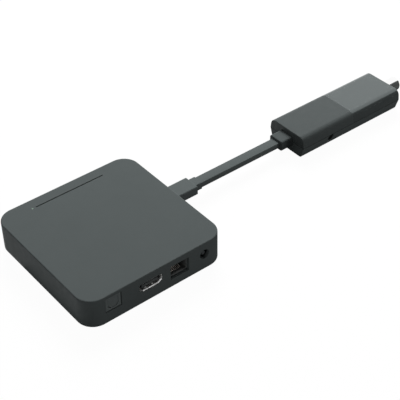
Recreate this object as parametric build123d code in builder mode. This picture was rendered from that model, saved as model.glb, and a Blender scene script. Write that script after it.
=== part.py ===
from build123d import *
from math import atan2, degrees
import os

# A streaming box: a flat square box with its ports on one side, and a short flat
# cable that runs from its right side to a stick with an aerial plug.
# Millimetres. The origin is at the middle of the box, on the surface that it stands on.
# +X runs along the port side towards the stick, the ports face -Y, and +Z is up.

os.makedirs("parts", exist_ok=True)

# Box shell
box_side = 93.0
corner_radius = 10.5
wall = 2.0
top_thickness = 2.0
top_edge_radius = 0.7
bottom_edge_radius = 1.0
headroom = 0.3

# Line and lamp on the top of the box
groove_length = 46.5
groove_width = 0.7
groove_depth = 0.5
groove_inset = 7.65
lamp_gap = 2.15
lamp_radius = 0.5
lamp_fit = 0.03
pipe_shoulder_radius = 1.2
pipe_stand_off = 0.4

# Base plate and foot pad
base_thickness = 2.0
base_gap = 0.15
foot_height = 0.4
pad_recess = 0.6
pad_inset = 13.5
pad_corner = 8.0
pad_gap = 0.1

# Base screws and the posts that they go into
post_inset = 7.0
post_radius = 3.25
base_boss_radius = 3.25
base_boss_height = 2.0
screw_radius = 1.25
screw_head_radius = 2.2
screw_head_height = 1.4
screw_head_depth = 1.7
screw_length = 9.0
screw_fit = 0.05
pilot_margin = 1.0
head_fit = 0.25
recess_radius = 0.8
recess_depth = 0.8

# Main board, its standoffs and screws
board_height = 3.9
board_thickness = 1.6
board_gap = 1.5
post_clearance = 0.8
standoff_inset = 8.0
standoff_spacing = 40.0
standoff_radius = 2.75
board_screw_radius = 1.0
board_screw_head_radius = 1.9
board_screw_head_height = 1.2
board_screw_length = 4.6
cutout_gap = 0.2

# Picture socket
hdmi_x = -5.3
hdmi_width = 15.0
hdmi_height = 5.6
hdmi_depth = 11.5
hdmi_sheet = 0.35
hdmi_slope_width = 2.3
hdmi_slope_height = 1.7
hdmi_corner = 0.5
hdmi_lift = 1.1
hdmi_setback = 0.15
hdmi_flare_width = 0.28
hdmi_flare_depth = 0.6
port_gap = 0.25
hdmi_tongue_width = 10.6
hdmi_tongue_thickness = 1.7
hdmi_tongue_length = 7.5
hdmi_plug_in = 3.0
hdmi_heel = 1.5
hdmi_contact_pitch = 1.0
hdmi_contact_width = 0.4
hdmi_contact_thickness = 0.12
hdmi_contact_length = 5.5
hdmi_top_contacts = 10
hdmi_bottom_contacts = 9
hdmi_spring_spacing = 4.7
hdmi_spring_radius = 0.8
hdmi_spring_rise = 0.35
hdmi_spring_depth = 2.1

# Network socket
ethernet_x = 14.35
jack_width = 11.7
jack_height = 6.5
latch_width = 6.3
latch_height = 1.9
jack_depth = 12.5
jack_wall = 1.5
jack_floor = 1.5
jack_roof = 0.85
jack_back = 3.5
jack_drop = 0.95
jack_mouth_margin = 0.45
jack_flare_width = 0.35
jack_flare_depth = 0.7
seat_gap = 0.1
shield_sheet = 0.25
shield_foot = 0.6
jack_contacts = 8
jack_contact_pitch = 1.02
jack_contact_width = 0.4
jack_contact_thickness = 0.25
jack_contact_start = 2.5
jack_contact_bend = 4.2
jack_contact_end = 6.4
jack_contact_rise = 1.95

# Optical socket with its door
optical_inset = 16.85
optical_width = 9.9
optical_height = 8.8
optical_depth = 15.0
optical_lift = 0.6
optical_setback = 0.45
optical_gap = 0.35
optical_floor = 1.0
optical_roof = 0.8
door_width = 6.5
door_thickness = 0.8
door_gap = 0.15
door_setback = 0.15
aperture_slope = 1.5
door_slope = 1.8
knuckle_radius = 0.55
hinge_pin_radius = 0.3
hinge_fit = 0.03
hinge_pin_reach = 0.9
emitter_depth = 4.0
emitter_fit = 0.05
lens_radius = 1.5
lens_length = 1.2

# Power socket
power_inset = 14.9
power_lift = 3.7
power_width = 8.6
power_roof = 1.1
power_depth = 12.5
power_bore_radius = 3.15
power_bore_depth = 9.5
power_pin_radius = 1.25
power_pin_setback = 1.2
power_pin_fit = 0.02
power_pin_round = 0.4
power_slot_width = 2.6
power_slot_depth = 0.8
power_strip_width = 2.2
power_strip_thickness = 0.25
power_strip_bow = 0.7

# Cable plug and its socket in the right side of the box
cable_y = 8.6
usb_lift = 0.2
plug_width = 8.25
plug_height = 2.45
plug_sheet = 0.3
plug_reach = 6.3
plug_fit = 0.06
socket_sheet = 0.3
socket_depth = 7.6
socket_setback = 0.5
socket_gap = 0.3
socket_wing = 1.2
socket_wing_length = 5.0
socket_back = 1.2
tongue_width = 6.6
tongue_thickness = 0.7
tongue_gap = 0.1
tongue_length = 5.2
slot_margin = 1.0
core_fit = 0.02

# Plug housing, its relief, the flat cable and the boot on the stick
plug_gap = 0.15
overmould_length = 19.7
overmould_width = 12.0
overmould_height = 6.1
overmould_corner = 1.0
overmould_end_radius = 0.4
overmould_pocket = 4.0
relief_length = 4.9
relief_width = 7.8
relief_height = 5.0
relief_corner = 0.8
cable_length = 62.75
cable_width = 6.6
cable_thickness = 3.8
cable_corner = 1.0
boot_length = 9.3
boot_width = 11.4
boot_height = 6.9
boot_corner = 1.4
boot_end_radius = 0.4
boot_collar = 1.0
boot_collar_length = 1.5
boot_fit = 0.1

# Stick shells
stick_length = 86.5
stick_height = 14.95
stick_top_width = 29.8
stick_seam_width = 31.4
stick_base_width = 26.6
stick_seam_height = 7.9
stick_shoulder = 4.4
stick_base_radius = 1.3
stick_end_radius = 0.5
stick_wall = 1.6
stick_end_wall = 1.8
stick_split = 44.2
split_gap = 0.06
seam_rebate = 0.25
seam_depth = 0.3

# Stick board and what it carries
stick_board_rear = 7.75
stick_board_front = 1.65
stick_board_side = 0.4
stick_board_thickness = 1.2
stick_board_drop = 5.1
stick_post_radius = 2.0
stick_post_inset = 6.0
stick_screw_radius = 0.8
stick_screw_head_radius = 1.5
stick_screw_head_height = 0.9
stick_screw_length = 3.0
stick_pilot_depth = 2.0
tuner_length = 30.0
tuner_width = 17.0
tuner_height = 4.4
tuner_sheet = 0.3
tuner_inset = 10.0
stick_chip_side = 10.0
stick_chip_height = 1.0
stick_chip_gap = 3.0

# Stick button and the switch behind it
button_along = 24.6
button_height = 5.4
button_radius = 2.2
button_hole_gap = 0.25
button_setback = 0.8
button_length = 2.8
button_flange = 0.6
button_flange_thickness = 0.6
button_travel = 0.35
button_slack = 0.1
plunger_radius = 0.9
plunger_reach = 0.6
plunger_in = 0.9
plunger_fit = 0.05
switch_width = 4.6
switch_height = 3.4
switch_depth = 3.6

# Aerial plug at the far end
aerial_height = 7.6
aerial_radius = 4.75
aerial_neck_radius = 4.5
aerial_bore_radius = 4.1
aerial_length = 12.5
aerial_flange_radius = 5.6
aerial_flange_thickness = 1.2
aerial_fit = 0.1
aerial_insulator_length = 5.0
aerial_inner_fit = 0.03
aerial_pin_radius = 1.2
aerial_pin_setback = 1.5
aerial_pin_tail = 4.0
aerial_edge = 0.4

# Parts on the main board
processor_side = 15.0
processor_height = 1.2
processor_y = 6.0
thermal_pad_height = 1.0
heat_sink_side = 34.0
heat_sink_base = 2.0
heat_sink_fin_height = 4.3
heat_sink_fin_thickness = 1.2
heat_sink_fins = 8
memory_length = 13.0
memory_width = 9.0
memory_height = 1.0
memory_gap = 3.0
flash_length = 13.0
flash_width = 11.5
radio_length = 16.0
radio_width = 14.0
radio_height = 2.2
antenna_length = 20.0
antenna_height = 6.0
antenna_sheet = 0.4
antenna_foot = 2.0
antenna_inset = 1.0
transformer_length = 15.0
transformer_width = 8.0
transformer_height = 5.8
transformer_gap = 2.0
transformer_space = 1.85
coil_side = 6.0
coil_height = 3.2
coil_count = 3
coil_pitch = 8.5
capacitor_radius = 3.15
capacitor_height = 7.6
capacitor_count = 2
capacitor_pitch = 8.0
led_length = 1.6
led_width = 1.0
led_height = 0.7
chip_space = 1.5
chip_corner = 0.6

# Heights
shell_bottom = foot_height
base_top = shell_bottom + base_thickness
base_boss_top = base_top + base_boss_height
board_bottom = base_top + board_height
board_top = board_bottom + board_thickness
hdmi_bottom = board_top + hdmi_lift
hdmi_z = hdmi_bottom + hdmi_height / 2
jack_floor_z = board_top - jack_drop
jack_top_z = jack_floor_z + jack_height
latch_top_z = jack_top_z + latch_height
jack_body_bottom = jack_floor_z - jack_floor
jack_body_top = latch_top_z + jack_roof
optical_bottom = board_top + optical_lift
optical_top = optical_bottom + optical_height
power_z = board_top + power_lift
power_top = power_z + power_bore_radius + power_roof
ceiling = max(optical_top, jack_body_top + shield_sheet, power_top) + headroom
shell_top = ceiling + top_thickness
cable_z = board_top + usb_lift

# Places across the box
half = box_side / 2
inner_half = half - wall
board_half = inner_half - board_gap
board_side = 2 * board_half
post_place = half - post_inset
standoff_x = half - standoff_inset
groove_y = half - groove_inset
pad_side = box_side - 2 * pad_inset
optical_x = optical_inset - half
power_x = half - power_inset
lamp_x = -groove_length / 2 - lamp_gap

# Places along the cable and the stick
overmould_x = half + plug_gap
relief_x = overmould_x + overmould_length
cable_x = relief_x + relief_length
boot_x = cable_x + cable_length
stick_x = boot_x + boot_length
stick_end = stick_x + stick_length
stick_middle = (stick_x + stick_end) / 2
aerial_end = stick_end + aerial_length
button_x = stick_x + button_along

port_side = Plane.XZ.offset(half)
port_wall = Plane.XZ.offset(inner_half - seat_gap)
cable_side = Plane.YZ


def hdmi_outline(grow):
    """The socket's outline: square upper corners and sloping lower ones."""
    w = hdmi_width / 2
    h = hdmi_height / 2
    with BuildSketch() as outline:
        with BuildLine():
            Polyline(
                (-w, h), (w, h), (w, hdmi_slope_height - h), (w - hdmi_slope_width, -h),
                (hdmi_slope_width - w, -h), (-w, hdmi_slope_height - h), close=True,
            )
        make_face()
        fillet(outline.vertices(), hdmi_corner)
        if grow:
            offset(amount=grow, kind=Kind.INTERSECTION, mode=Mode.REPLACE)
    return outline.sketch


def aperture(width, height, slope):
    """A door's outline, with its two lower corners cut off."""
    w = width / 2
    with BuildSketch() as outline:
        with BuildLine():
            Polyline(
                (-w, height), (w, height), (w, slope), (w - slope, 0),
                (slope - w, 0), (-w, slope), close=True,
            )
        make_face()
    return outline.sketch


def slot(width, height):
    """A rectangle with half-round ends."""
    with BuildSketch() as outline:
        SlotOverall(width, height)
    return outline.sketch


def strip(points, thickness):
    """A bent strip seen from its edge: the points, and the same points raised."""
    raised = [(x, y + thickness) for x, y in reversed(points)]
    with BuildSketch() as outline:
        with BuildLine():
            Polyline(*points, *raised, close=True)
        make_face()
    return outline.sketch


# Top shell

usb_hole_width = plug_width + 2 * (plug_fit + socket_sheet + socket_gap)
usb_hole_height = plug_height + 2 * (plug_fit + socket_sheet + socket_gap)
pilot_depth = screw_length - base_boss_top + shell_bottom + screw_head_depth + pilot_margin

with BuildPart() as top_shell:
    with BuildSketch(Plane.XY.offset(shell_bottom)):
        RectangleRounded(box_side, box_side, corner_radius)
    extrude(amount=shell_top - shell_bottom)
    fillet(top_shell.faces().sort_by(Axis.Z)[-1].edges(), top_edge_radius)
    fillet(top_shell.faces().sort_by(Axis.Z)[0].edges(), bottom_edge_radius)
    with BuildSketch(Plane.XY.offset(shell_bottom)):
        RectangleRounded(2 * inner_half, 2 * inner_half, corner_radius - wall)
    extrude(amount=ceiling - shell_bottom, mode=Mode.SUBTRACT)
    with BuildSketch(Plane.XY.offset(base_boss_top)):
        with GridLocations(2 * post_place, 2 * post_place, 2, 2):
            Circle(post_radius)
    extrude(amount=ceiling - base_boss_top)
    with BuildSketch(Plane.XY.offset(base_boss_top)):
        with GridLocations(2 * post_place, 2 * post_place, 2, 2):
            Circle(screw_radius + screw_fit)
    extrude(amount=pilot_depth, mode=Mode.SUBTRACT)
    with BuildSketch(port_side):
        with Locations((hdmi_x, hdmi_z)):
            add(hdmi_outline(port_gap))
        with Locations((ethernet_x, (jack_floor_z + latch_top_z) / 2)):
            Rectangle(
                jack_width + 2 * jack_mouth_margin,
                latch_top_z - jack_floor_z + 2 * jack_mouth_margin,
            )
        with Locations((optical_x, (optical_bottom + optical_top) / 2)):
            Rectangle(optical_width + 2 * optical_gap, optical_height + 2 * optical_gap)
        with Locations((power_x, power_z)):
            Circle(power_bore_radius)
    extrude(amount=-wall, mode=Mode.SUBTRACT)
    with BuildSketch(cable_side.offset(half)):
        with Locations((cable_y, cable_z)):
            add(slot(usb_hole_width, usb_hole_height))
    extrude(amount=-wall, mode=Mode.SUBTRACT)
    with BuildSketch(Plane.XY.offset(shell_top)):
        with Locations((0, groove_y)):
            SlotOverall(groove_length, groove_width)
    extrude(amount=-groove_depth, mode=Mode.SUBTRACT)
    with BuildSketch(Plane.XY.offset(shell_top)):
        with Locations((lamp_x, groove_y)):
            Circle(lamp_radius + lamp_fit)
    extrude(amount=-top_thickness, mode=Mode.SUBTRACT)
top_shell.part.label = "top_shell"
export_step(top_shell.part, "parts/top_shell.step")

# Base plate

base_side = 2 * (inner_half - base_gap)

with BuildPart() as base_plate:
    with BuildSketch(Plane.XY.offset(shell_bottom)):
        RectangleRounded(base_side, base_side, corner_radius - wall - base_gap)
    extrude(amount=base_thickness)
    with BuildSketch(Plane.XY.offset(base_top)):
        with GridLocations(2 * post_place, 2 * post_place, 2, 2):
            Circle(base_boss_radius)
    extrude(amount=base_boss_height)
    with BuildSketch(Plane.XY.offset(base_top)):
        with GridLocations(2 * standoff_x, standoff_spacing, 2, 2):
            Circle(standoff_radius)
    extrude(amount=board_height)
    with BuildSketch(Plane.XY.offset(shell_bottom)):
        RectangleRounded(pad_side + 2 * pad_gap, pad_side + 2 * pad_gap, pad_corner)
    extrude(amount=pad_recess, mode=Mode.SUBTRACT)
    with BuildSketch(Plane.XY.offset(shell_bottom)):
        with GridLocations(2 * post_place, 2 * post_place, 2, 2):
            Circle(screw_head_radius + head_fit)
    extrude(amount=screw_head_depth, mode=Mode.SUBTRACT)
    with BuildSketch(Plane.XY.offset(shell_bottom)):
        with GridLocations(2 * post_place, 2 * post_place, 2, 2):
            Circle(screw_radius + head_fit)
    extrude(amount=base_thickness + base_boss_height, mode=Mode.SUBTRACT)
    with BuildSketch(Plane.XY.offset(board_bottom)):
        with GridLocations(2 * standoff_x, standoff_spacing, 2, 2):
            Circle(board_screw_radius + screw_fit)
    extrude(amount=-board_height, mode=Mode.SUBTRACT)
base_plate.part.label = "base_plate"
export_step(base_plate.part, "parts/base_plate.step")

# Foot pad

with BuildPart() as foot_pad:
    with BuildSketch(Plane.XY):
        RectangleRounded(pad_side, pad_side, pad_corner - pad_gap)
    extrude(amount=foot_height + pad_recess)
    fillet(foot_pad.faces().sort_by(Axis.Z)[0].edges(), foot_height / 2)
foot_pad.part.label = "foot_pad"
export_step(foot_pad.part, "parts/foot_pad.step")

# Base screws

head_top = shell_bottom + screw_head_depth

with BuildPart() as base_screws:
    with BuildSketch(Plane.XY.offset(head_top - screw_head_height)):
        with GridLocations(2 * post_place, 2 * post_place, 2, 2):
            Circle(screw_head_radius)
    extrude(amount=screw_head_height)
    with BuildSketch(Plane.XY.offset(head_top)):
        with GridLocations(2 * post_place, 2 * post_place, 2, 2):
            Circle(screw_radius)
    extrude(amount=screw_length)
    with BuildSketch(Plane.XY.offset(head_top - screw_head_height)):
        with GridLocations(2 * post_place, 2 * post_place, 2, 2):
            RegularPolygon(recess_radius, 6)
    extrude(amount=recess_depth, mode=Mode.SUBTRACT)
base_screws.part.label = "base_screws"
export_step(base_screws.part, "parts/base_screws.step")

# Main board

notch = post_inset + base_boss_radius + post_clearance - wall - board_gap
jack_body_width = jack_width + 2 * jack_wall
jack_body_depth = jack_depth + jack_back
jack_front = inner_half - seat_gap
socket_outer_width = plug_width + 2 * (plug_fit + socket_sheet)
socket_outer_height = plug_height + 2 * (plug_fit + socket_sheet)
socket_mouth = half - socket_setback
socket_end = socket_mouth - socket_depth

with BuildPart() as main_board:
    with BuildSketch(Plane.XY.offset(board_bottom)):
        Rectangle(board_side, board_side)
        with GridLocations(board_side - notch, board_side - notch, 2, 2):
            Rectangle(notch, notch, mode=Mode.SUBTRACT)
        with GridLocations(2 * standoff_x, standoff_spacing, 2, 2):
            Circle(board_screw_radius + cutout_gap, mode=Mode.SUBTRACT)
        with Locations((ethernet_x, -jack_front)):
            Rectangle(
                jack_body_width + 2 * cutout_gap,
                jack_body_depth + cutout_gap,
                align=(Align.CENTER, Align.MIN),
                mode=Mode.SUBTRACT,
            )
        with Locations((socket_end - cutout_gap, cable_y)):
            Rectangle(
                half - socket_end,
                socket_outer_width + 2 * cutout_gap,
                align=(Align.MIN, Align.CENTER),
                mode=Mode.SUBTRACT,
            )
    extrude(amount=board_thickness)
main_board.part.label = "main_board"
export_step(main_board.part, "parts/main_board.step")

# Board screws

with BuildPart() as board_screws:
    with BuildSketch(Plane.XY.offset(board_top)):
        with GridLocations(2 * standoff_x, standoff_spacing, 2, 2):
            Circle(board_screw_head_radius)
    extrude(amount=board_screw_head_height)
    with BuildSketch(Plane.XY.offset(board_top)):
        with GridLocations(2 * standoff_x, standoff_spacing, 2, 2):
            Circle(board_screw_radius)
    extrude(amount=-board_screw_length)
board_screws.part.label = "board_screws"
export_step(board_screws.part, "parts/board_screws.step")

# Picture socket: metal shell with a flared mouth and two floor springs

hdmi_front = half - hdmi_setback
hdmi_flare_angle = degrees(atan2(hdmi_flare_width, hdmi_flare_depth))

with BuildPart() as hdmi_shell:
    with BuildSketch(Plane.XZ.offset(hdmi_front)):
        with Locations((hdmi_x, hdmi_z)):
            add(hdmi_outline(0))
    extrude(amount=-hdmi_depth)
    with BuildSketch(Plane.XZ.offset(hdmi_front)):
        with Locations((hdmi_x, hdmi_z)):
            add(hdmi_outline(-hdmi_sheet))
    extrude(amount=-hdmi_depth, mode=Mode.SUBTRACT)
    with BuildSketch(Plane.XZ.offset(hdmi_front)):
        with Locations((hdmi_x, hdmi_z)):
            add(hdmi_outline(hdmi_flare_width - hdmi_sheet))
    extrude(amount=-hdmi_flare_depth, taper=hdmi_flare_angle, mode=Mode.SUBTRACT)
    with BuildSketch(Plane.XY.offset(hdmi_bottom + hdmi_sheet / 2)):
        with Locations((hdmi_x, hdmi_spring_depth - half)):
            with GridLocations(hdmi_spring_spacing, 1, 2, 1):
                Circle(hdmi_spring_radius)
    extrude(amount=hdmi_sheet / 2 + hdmi_spring_rise, taper=30)
hdmi_shell.part.label = "hdmi_shell"
export_step(hdmi_shell.part, "parts/hdmi_shell.step")

# Picture socket: insulator with its tongue

hdmi_back = hdmi_front - hdmi_depth

with BuildPart() as hdmi_insulator:
    with BuildSketch(Plane.XZ.offset(hdmi_back)):
        with Locations((hdmi_x, hdmi_z)):
            add(hdmi_outline(-hdmi_sheet))
    extrude(amount=hdmi_plug_in)
    with BuildSketch(Plane.XZ.offset(hdmi_back)):
        with Locations((hdmi_x, hdmi_z)):
            Rectangle(hdmi_tongue_width, hdmi_tongue_thickness)
    extrude(amount=hdmi_plug_in + hdmi_tongue_length)
    with BuildSketch(Plane.XZ.offset(hdmi_back)):
        with Locations((hdmi_x, board_top)):
            Rectangle(hdmi_width, hdmi_lift + hdmi_height, align=(Align.CENTER, Align.MIN))
    extrude(amount=-hdmi_heel)
    with BuildSketch(Plane.XZ.offset(hdmi_back)):
        with Locations((hdmi_x, board_top)):
            Rectangle(
                hdmi_width - 2 * hdmi_slope_width, hdmi_lift, align=(Align.CENTER, Align.MIN)
            )
    extrude(amount=board_half - hdmi_back)
hdmi_insulator.part.label = "hdmi_insulator"
export_step(hdmi_insulator.part, "parts/hdmi_insulator.step")

# Picture socket: contacts above and below the tongue

with BuildPart() as hdmi_contacts:
    with BuildSketch(Plane.XZ.offset(hdmi_back + hdmi_plug_in)):
        with Locations((hdmi_x, hdmi_z + (hdmi_tongue_thickness + hdmi_contact_thickness) / 2)):
            with GridLocations(hdmi_contact_pitch, 1, hdmi_top_contacts, 1):
                Rectangle(hdmi_contact_width, hdmi_contact_thickness)
        with Locations((hdmi_x, hdmi_z - (hdmi_tongue_thickness + hdmi_contact_thickness) / 2)):
            with GridLocations(hdmi_contact_pitch, 1, hdmi_bottom_contacts, 1):
                Rectangle(hdmi_contact_width, hdmi_contact_thickness)
    extrude(amount=hdmi_contact_length)
hdmi_contacts.part.label = "hdmi_contacts"
export_step(hdmi_contacts.part, "parts/hdmi_contacts.step")

# Network socket: housing with a flared mouth

jack_flare_angle = degrees(atan2(jack_flare_width, jack_flare_depth))

with BuildPart() as ethernet_housing:
    with BuildSketch(port_wall):
        with Locations((ethernet_x, jack_body_bottom)):
            Rectangle(
                jack_body_width,
                jack_body_top - jack_body_bottom,
                align=(Align.CENTER, Align.MIN),
            )
    extrude(amount=-jack_body_depth)
    with BuildSketch(port_wall):
        with Locations((ethernet_x, jack_floor_z)):
            Rectangle(jack_width, jack_height, align=(Align.CENTER, Align.MIN))
        with Locations((ethernet_x, jack_top_z)):
            Rectangle(latch_width, latch_height, align=(Align.CENTER, Align.MIN))
    extrude(amount=-jack_depth, mode=Mode.SUBTRACT)
    with BuildSketch(port_wall):
        with Locations((ethernet_x, jack_floor_z - jack_flare_width)):
            Rectangle(
                jack_width + 2 * jack_flare_width,
                jack_height + 2 * jack_flare_width,
                align=(Align.CENTER, Align.MIN),
            )
    extrude(amount=-jack_flare_depth, taper=jack_flare_angle, mode=Mode.SUBTRACT)
    with BuildSketch(port_wall):
        with Locations((ethernet_x, jack_top_z - jack_flare_width)):
            Rectangle(
                latch_width + 2 * jack_flare_width,
                latch_height + 2 * jack_flare_width,
                align=(Align.CENTER, Align.MIN),
            )
    extrude(amount=-jack_flare_depth, taper=jack_flare_angle, mode=Mode.SUBTRACT)
ethernet_housing.part.label = "ethernet_housing"
export_step(ethernet_housing.part, "parts/ethernet_housing.step")

# Network socket: sheet metal cover that stands on the board

shield_width = jack_body_width + 2 * shield_sheet

with BuildPart() as ethernet_shield:
    with BuildSketch(port_wall):
        with Locations((ethernet_x, board_top)):
            Rectangle(
                shield_width,
                jack_body_top + shield_sheet - board_top,
                align=(Align.CENTER, Align.MIN),
            )
            Rectangle(
                shield_width + 2 * shield_foot, shield_sheet, align=(Align.CENTER, Align.MIN)
            )
    extrude(amount=-jack_body_depth - shield_sheet)
    with BuildSketch(port_wall):
        with Locations((ethernet_x, board_top)):
            Rectangle(
                jack_body_width, jack_body_top - board_top, align=(Align.CENTER, Align.MIN)
            )
    extrude(amount=-jack_body_depth, mode=Mode.SUBTRACT)
ethernet_shield.part.label = "ethernet_shield"
export_step(ethernet_shield.part, "parts/ethernet_shield.step")

# Network socket: spring contacts that rise from the floor

contact_line = [
    (jack_contact_start, 0),
    (jack_contact_bend, 0),
    (jack_contact_end, jack_contact_rise),
]
contact_row = jack_contact_pitch * (jack_contacts - 1) / 2

with BuildPart() as ethernet_contacts:
    for number in range(jack_contacts):
        left = ethernet_x - contact_row + number * jack_contact_pitch - jack_contact_width / 2
        with BuildSketch(cable_side.offset(left)):
            with Locations((-jack_front, jack_floor_z)):
                add(strip(contact_line, jack_contact_thickness))
        extrude(amount=jack_contact_width)
ethernet_contacts.part.label = "ethernet_contacts"
export_step(ethernet_contacts.part, "parts/ethernet_contacts.step")

# Optical socket: housing

optical_front = half - optical_setback
aperture_width = door_width + 2 * door_gap
aperture_bottom = optical_bottom + optical_floor
aperture_height = optical_height - optical_floor - optical_roof
hinge_z = aperture_bottom + aperture_height - knuckle_radius - door_gap
hinge_y = door_setback + door_thickness / 2 - optical_front
hinge_hole_width = aperture_width + 2 * hinge_pin_reach

with BuildPart() as optical_housing:
    with BuildSketch(Plane.XZ.offset(optical_front)):
        with Locations((optical_x, optical_bottom)):
            Rectangle(optical_width, optical_height, align=(Align.CENTER, Align.MIN))
    extrude(amount=-optical_depth)
    with BuildSketch(Plane.XZ.offset(board_half)):
        with Locations((optical_x, board_top)):
            Rectangle(optical_width, optical_lift, align=(Align.CENTER, Align.MIN))
    extrude(amount=optical_front - optical_depth - board_half)
    with BuildSketch(Plane.XZ.offset(optical_front)):
        with Locations((optical_x, aperture_bottom)):
            add(aperture(aperture_width, aperture_height, aperture_slope))
    extrude(amount=-optical_depth, mode=Mode.SUBTRACT)
    with BuildSketch(Plane.YZ.offset(optical_x - hinge_hole_width / 2)):
        with Locations((hinge_y, hinge_z)):
            Circle(hinge_pin_radius + hinge_fit)
    extrude(amount=hinge_hole_width, mode=Mode.SUBTRACT)
optical_housing.part.label = "optical_housing"
export_step(optical_housing.part, "parts/optical_housing.step")

# Optical socket: door on its pin

door_bottom = aperture_bottom + door_gap

with BuildPart() as optical_door:
    with BuildSketch(Plane.XZ.offset(optical_front - door_setback)):
        with Locations((optical_x, door_bottom)):
            add(aperture(door_width, hinge_z - door_bottom, door_slope))
    extrude(amount=-door_thickness)
    with BuildSketch(Plane.YZ.offset(optical_x - door_width / 2)):
        with Locations((hinge_y, hinge_z)):
            Circle(knuckle_radius)
    extrude(amount=door_width)
    with BuildSketch(Plane.YZ.offset(optical_x - door_width / 2)):
        with Locations((hinge_y, hinge_z)):
            Circle(hinge_pin_radius + hinge_fit)
    extrude(amount=door_width, mode=Mode.SUBTRACT)
optical_door.part.label = "optical_door"
export_step(optical_door.part, "parts/optical_door.step")

# Optical socket: hinge pin

with BuildPart() as hinge_pin:
    with BuildSketch(Plane.YZ.offset(optical_x - hinge_hole_width / 2)):
        with Locations((hinge_y, hinge_z)):
            Circle(hinge_pin_radius)
    extrude(amount=hinge_hole_width)
hinge_pin.part.label = "hinge_pin"
export_step(hinge_pin.part, "parts/hinge_pin.step")

# Optical socket: light emitter at its back

emitter_back = optical_front - optical_depth

with BuildPart() as optical_emitter:
    with BuildSketch(Plane.XZ.offset(emitter_back)):
        with Locations((optical_x, aperture_bottom + emitter_fit)):
            add(
                aperture(
                    aperture_width - 2 * emitter_fit,
                    aperture_height - 2 * emitter_fit,
                    aperture_slope,
                )
            )
    extrude(amount=emitter_depth)
    with BuildSketch(Plane.XZ.offset(emitter_back + emitter_depth)):
        with Locations((optical_x, aperture_bottom + aperture_height / 2)):
            Circle(lens_radius)
    extrude(amount=lens_length)
optical_emitter.part.label = "optical_emitter"
export_step(optical_emitter.part, "parts/optical_emitter.step")

# Power socket: housing

with BuildPart() as power_housing:
    with BuildSketch(port_wall):
        with Locations((power_x, board_top)):
            Rectangle(power_width, power_top - board_top, align=(Align.CENTER, Align.MIN))
    extrude(amount=-power_depth)
    with BuildSketch(port_wall):
        with Locations((power_x, power_z)):
            Circle(power_bore_radius)
            Rectangle(
                power_bore_radius + power_slot_depth,
                power_slot_width,
                align=(Align.MIN, Align.CENTER),
            )
    extrude(amount=-power_bore_depth, mode=Mode.SUBTRACT)
    with BuildSketch(port_wall):
        with Locations((power_x, power_z)):
            Circle(power_pin_radius + power_pin_fit)
    extrude(amount=-power_depth, mode=Mode.SUBTRACT)
power_housing.part.label = "power_housing"
export_step(power_housing.part, "parts/power_housing.step")

# Power socket: centre pin

power_back = inner_half - seat_gap - power_depth

with BuildPart() as power_pin:
    with BuildSketch(Plane.XZ.offset(power_back)):
        with Locations((power_x, power_z)):
            Circle(power_pin_radius)
    extrude(amount=half - power_pin_setback - power_back)
    fillet(power_pin.faces().sort_by(Axis.Y)[0].edges(), power_pin_round)
power_pin.part.label = "power_pin"
export_step(power_pin.part, "parts/power_pin.step")

# Power socket: bowed side contact in its slot

strip_side = power_bore_radius + power_slot_depth
power_strip = [
    (0, -strip_side),
    (power_bore_depth / 2, power_strip_bow - strip_side),
    (power_bore_depth, -strip_side),
]

with BuildPart() as power_contact:
    with BuildSketch(Plane.XY.offset(power_z - power_strip_width / 2)):
        with Locations(Location((power_x, seat_gap - inner_half, 0), (0, 0, 90))):
            add(strip(power_strip, power_strip_thickness))
    extrude(amount=power_strip_width)
power_contact.part.label = "power_contact"
export_step(power_contact.part, "parts/power_contact.step")

# Cable socket: metal shell with two wings that rest on the board

with BuildPart() as usb_socket_shell:
    with BuildSketch(cable_side.offset(socket_end)):
        with Locations((cable_y, cable_z)):
            add(slot(socket_outer_width, socket_outer_height))
    extrude(amount=socket_depth)
    with BuildSketch(Plane.XY.offset(board_top)):
        with Locations((socket_end, cable_y)):
            Rectangle(
                socket_wing_length,
                socket_outer_width + 2 * socket_wing,
                align=(Align.MIN, Align.CENTER),
            )
    extrude(amount=socket_sheet)
    with BuildSketch(cable_side.offset(socket_end)):
        with Locations((cable_y, cable_z)):
            add(slot(plug_width + 2 * plug_fit, plug_height + 2 * plug_fit))
    extrude(amount=socket_depth, mode=Mode.SUBTRACT)
usb_socket_shell.part.label = "usb_socket_shell"
export_step(usb_socket_shell.part, "parts/usb_socket_shell.step")

# Cable socket: insulator with its tongue

with BuildPart() as usb_socket_tongue:
    with BuildSketch(cable_side.offset(socket_end)):
        with Locations((cable_y, cable_z)):
            add(slot(plug_width + plug_fit, plug_height + plug_fit))
    extrude(amount=socket_back)
    with BuildSketch(cable_side.offset(socket_end)):
        with Locations((cable_y, cable_z)):
            Rectangle(tongue_width, tongue_thickness)
    extrude(amount=socket_back + tongue_length)
usb_socket_tongue.part.label = "usb_socket_tongue"
export_step(usb_socket_tongue.part, "parts/usb_socket_tongue.step")

# Status lamp and its light pipe

with BuildPart() as status_led:
    with BuildSketch(Plane.XY.offset(board_top)):
        with Locations((lamp_x, groove_y)):
            Rectangle(led_length, led_width)
    extrude(amount=led_height)
status_led.part.label = "status_led"
export_step(status_led.part, "parts/status_led.step")

pipe_bottom = board_top + led_height + pipe_stand_off

with BuildPart() as light_pipe:
    with BuildSketch(Plane.XY.offset(pipe_bottom)):
        with Locations((lamp_x, groove_y)):
            Circle(lamp_radius)
    extrude(amount=shell_top - pipe_bottom)
    with BuildSketch(Plane.XY.offset(pipe_bottom)):
        with Locations((lamp_x, groove_y)):
            Circle(pipe_shoulder_radius)
    extrude(amount=ceiling - pipe_bottom)
light_pipe.part.label = "light_pipe"
export_step(light_pipe.part, "parts/light_pipe.step")

# Processor, thermal pad and heat sink

processor_top = board_top + processor_height
pad_top = processor_top + thermal_pad_height
fin_pitch = (heat_sink_side - heat_sink_fin_thickness) / (heat_sink_fins - 1)

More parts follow.
